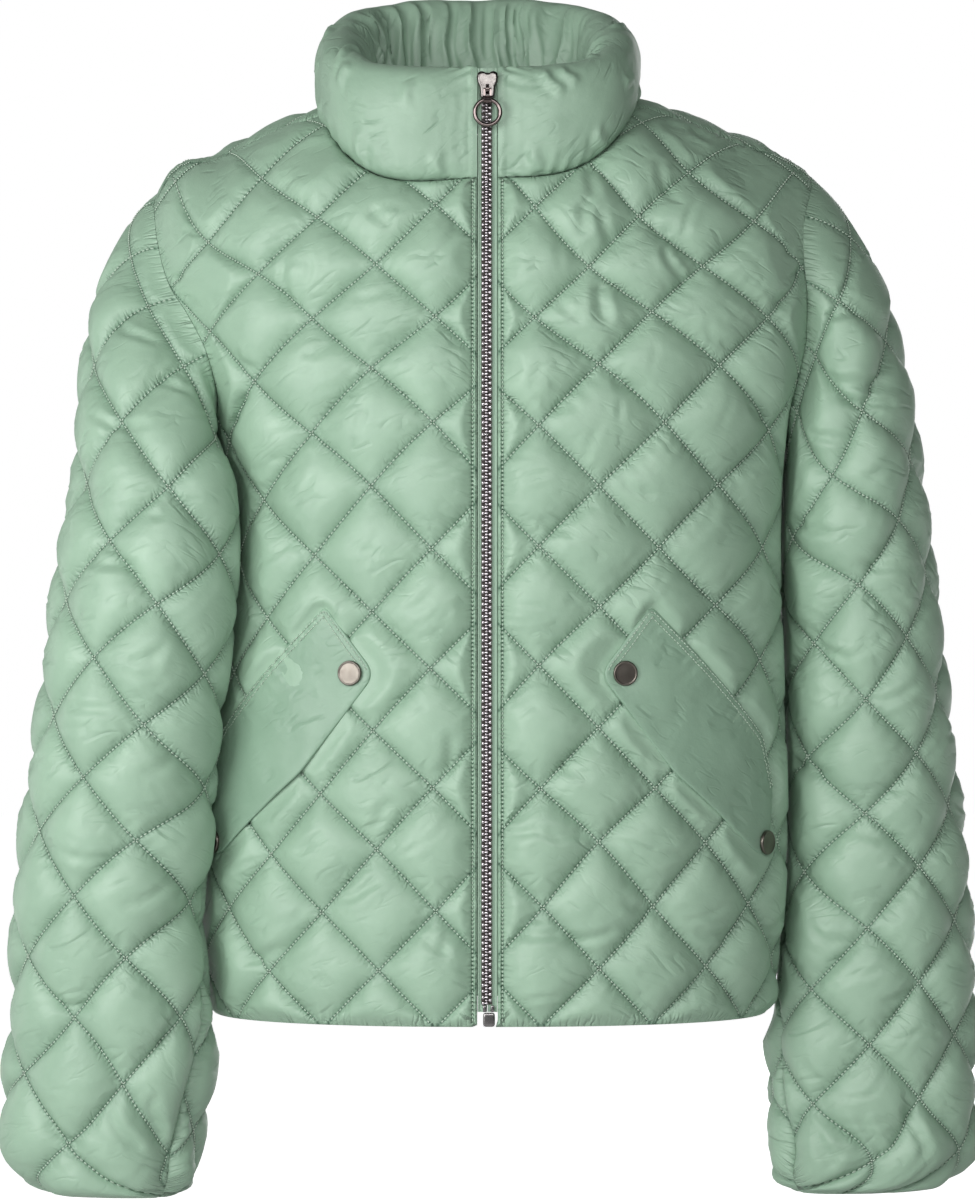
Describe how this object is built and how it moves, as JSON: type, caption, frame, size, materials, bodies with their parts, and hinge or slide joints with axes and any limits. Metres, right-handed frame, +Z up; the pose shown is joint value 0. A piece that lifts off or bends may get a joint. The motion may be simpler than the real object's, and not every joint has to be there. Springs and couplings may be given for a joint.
{
  "type": "quilted jacket",
  "caption": "Cropped diamond-quilted jacket with a padded stand collar, front zip, long sleeves and slanted pocket flaps with snaps, held in its worn, hollow form",
  "frame": {"origin": "In the neck hollow, between the tops of the shoulders, where a wearer or a form carries the jacket", "axes": "+Z up, the front faces -Y, +X is the wearer's left"},
  "size_m": [0.6002, 0.2477, 0.7476],
  "materials": {
    "front_right": "satin nylon",
    "front_left": "satin nylon",
    "back": "satin nylon",
    "sleeve_right": "satin nylon",
    "sleeve_left": "satin nylon",
    "collar": "satin nylon",
    "flap_right": "satin nylon",
    "flap_left": "satin nylon",
    "collar_facing": "satin nylon",
    "zip_tape_right": "woven tape",
    "zip_tape_left": "woven tape",
    "zip_chain": "bright nickel",
    "zip_box": "bright nickel",
    "zip_pin_right": "bright nickel",
    "zip_pin_left": "bright nickel",
    "zip_slider": "bright nickel",
    "zip_pull": "bright nickel",
    "zip_ring": "bright nickel",
    "snap_1_right": "polished nickel",
    "snap_2_right": "polished nickel",
    "snap_1_left": "polished nickel",
    "snap_2_left": "polished nickel"
  },
  "bodies": {
    "garment": {"front_right": "front_right", "front_left": "front_left", "back": "back", "sleeve_right": "sleeve_right", "sleeve_left": "sleeve_left", "collar": "collar", "flap_right": "flap_right", "flap_left": "flap_left", "collar_facing": "collar_facing", "zip_tape_right": "zip_tape_right", "zip_tape_left": "zip_tape_left", "zip_chain": "zip_chain", "zip_box": "zip_box", "zip_pin_right": "zip_pin_right", "zip_pin_left": "zip_pin_left", "zip_slider": "zip_slider", "snap_1_right": "snap_1_right", "snap_2_right": "snap_2_right", "snap_1_left": "snap_1_left", "snap_2_left": "snap_2_left"},
    "pull": {"zip_pull": "zip_pull"},
    "ring": {"zip_ring": "zip_ring"}
  },
  "joints": [
    {"name": "pull_hinge", "type": "hinge", "parent": "garment", "child": "pull", "pos_m": [0, -0.10546, 0.007], "axis": [1, 0, 0], "range_deg": [-100, 0]},
    {"name": "ring_hinge", "type": "hinge", "parent": "pull", "child": "ring", "pos_m": [0, -0.10546, 0.0006], "axis": [1, 0, 0], "range_deg": [-85, 10]}
  ]
}
